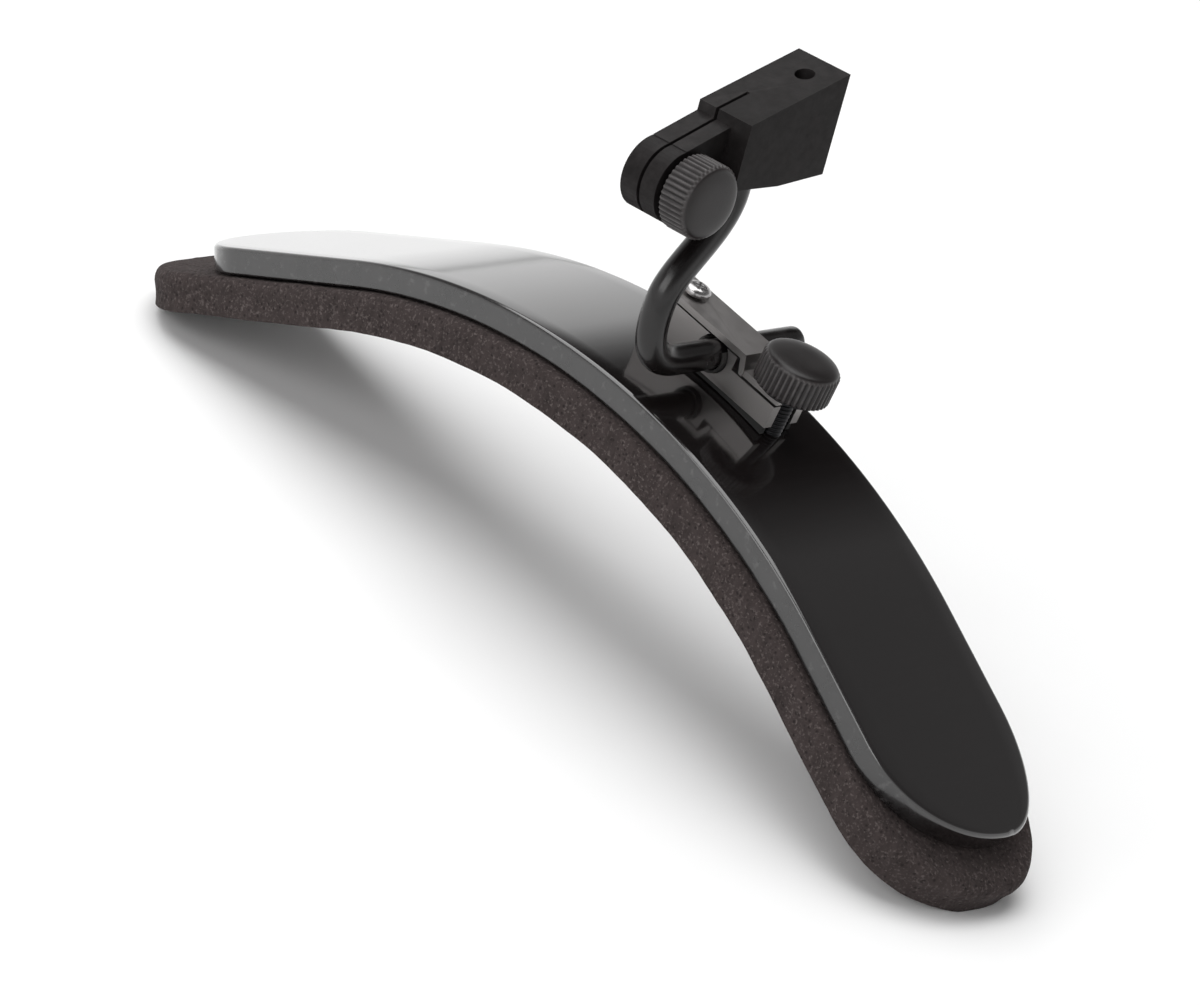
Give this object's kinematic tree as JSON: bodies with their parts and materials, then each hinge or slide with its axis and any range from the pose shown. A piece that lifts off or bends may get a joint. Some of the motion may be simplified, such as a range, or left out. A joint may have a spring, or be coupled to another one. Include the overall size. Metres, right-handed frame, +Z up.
{
  "type": "violin shoulder rest",
  "caption": "Arched shoulder rest with a foam pad, a two-jaw clamp on the plate, a bent arm, knurled thumbscrews and a clamping block for the violin's tail.",
  "frame": {"origin": "centre of the footprint, on the surface that the pad's two ends stand on", "axes": "+X along the plate towards its round end, +Y across the plate towards the violin's scroll, +Z up"},
  "size_m": [0.1966, 0.0472, 0.1001],
  "materials": {
    "foam": "open-cell foam with fine light specks",
    "plate": "polished, lightly scratched at the edge",
    "clamp_metal": "satin, brushed along its length",
    "steel": "bright plated",
    "black_steel": "blackened thread",
    "brass": "turned",
    "nylon": "moulded",
    "rubber": "matte",
    "knob": "satin black, straight knurl",
    "arm_paint": "semi-gloss black",
    "block_paint": "matte black"
  },
  "bodies": {
    "plate": {"foam_pad": "foam", "shoulder_plate": "plate", "seat_shim": "rubber", "lower_bar": "clamp_metal", "strap_insert": "brass", "bar_insert": "brass", "thumb_insert": "brass", "strap_screw": "steel", "bar_screw": "steel"},
    "strap": {"clamp_strap": "clamp_metal"},
    "lower_washer": {"lower_washer": "steel"},
    "lower_thumbscrew": {"lower_knob": "knob", "lower_shank": "black_steel"},
    "lower_sleeve": {"lower_sleeve": "nylon"},
    "arm": {"arm_rod": "arm_paint"},
    "upper_sleeve": {"upper_sleeve": "nylon"},
    "mount": {"mount_block": "block_paint", "ear_insert": "brass"},
    "upper_washer": {"upper_washer": "steel"},
    "upper_thumbscrew": {"upper_knob": "knob", "upper_shank": "black_steel"}
  },
  "joints": [
    {"name": "strap_lift", "type": "hinge", "parent": "plate", "child": "strap", "pos_m": [0.00162, 0.0072, 0.05469], "axis": [0, -1, 0], "range_deg": [0, 3.5]},
    {"name": "lower_washer_travel", "type": "slide", "parent": "plate", "child": "lower_washer", "axis": [0.0859, 0, 0.9963], "range_m": [0, 0.00175]},
    {"name": "lower_knob_turn", "type": "hinge", "parent": "lower_washer", "child": "lower_thumbscrew", "pos_m": [0.02551, 0.0072, 0.05112], "axis": [0.0859, 0, 0.9963], "range_deg": [0, 900]},
    {"name": "arm_tilt", "type": "hinge", "parent": "plate", "child": "lower_sleeve", "pos_m": [0.01214, 0.0072, 0.05087], "axis": [0, 1, 0], "range_deg": [-20, 20]},
    {"name": "leg_slide", "type": "slide", "parent": "lower_sleeve", "child": "arm", "axis": [0, 1, 0], "range_m": [-0.008, 0.007]},
    {"name": "height_slide", "type": "slide", "parent": "arm", "child": "upper_sleeve", "axis": [-0.1127, 0, 0.9936], "range_m": [-0.0015, 0.003]},
    {"name": "block_swivel", "type": "hinge", "parent": "upper_sleeve", "child": "mount", "pos_m": [0.01214, -0.0029, 0.05087], "axis": [-0.1127, 0, 0.9936], "range_deg": [-35, 35]},
    {"name": "upper_washer_travel", "type": "slide", "parent": "mount", "child": "upper_washer", "axis": [0.9936, 0, 0.1127], "range_m": [0, 0.00175]},
    {"name": "upper_knob_turn", "type": "hinge", "parent": "upper_washer", "child": "upper_thumbscrew", "pos_m": [0.00988, -0.0174, 0.08141], "axis": [0.9936, 0, 0.1127], "range_deg": [0, 900]}
  ],
  "couplings": [
    {"joint": "lower_knob_turn", "follows": "lower_washer_travel", "rad_per_m": 8976},
    {"joint": "strap_lift", "follows": "lower_washer_travel", "rad_per_m": 34.9},
    {"joint": "upper_knob_turn", "follows": "upper_washer_travel", "rad_per_m": 8976}
  ]
}
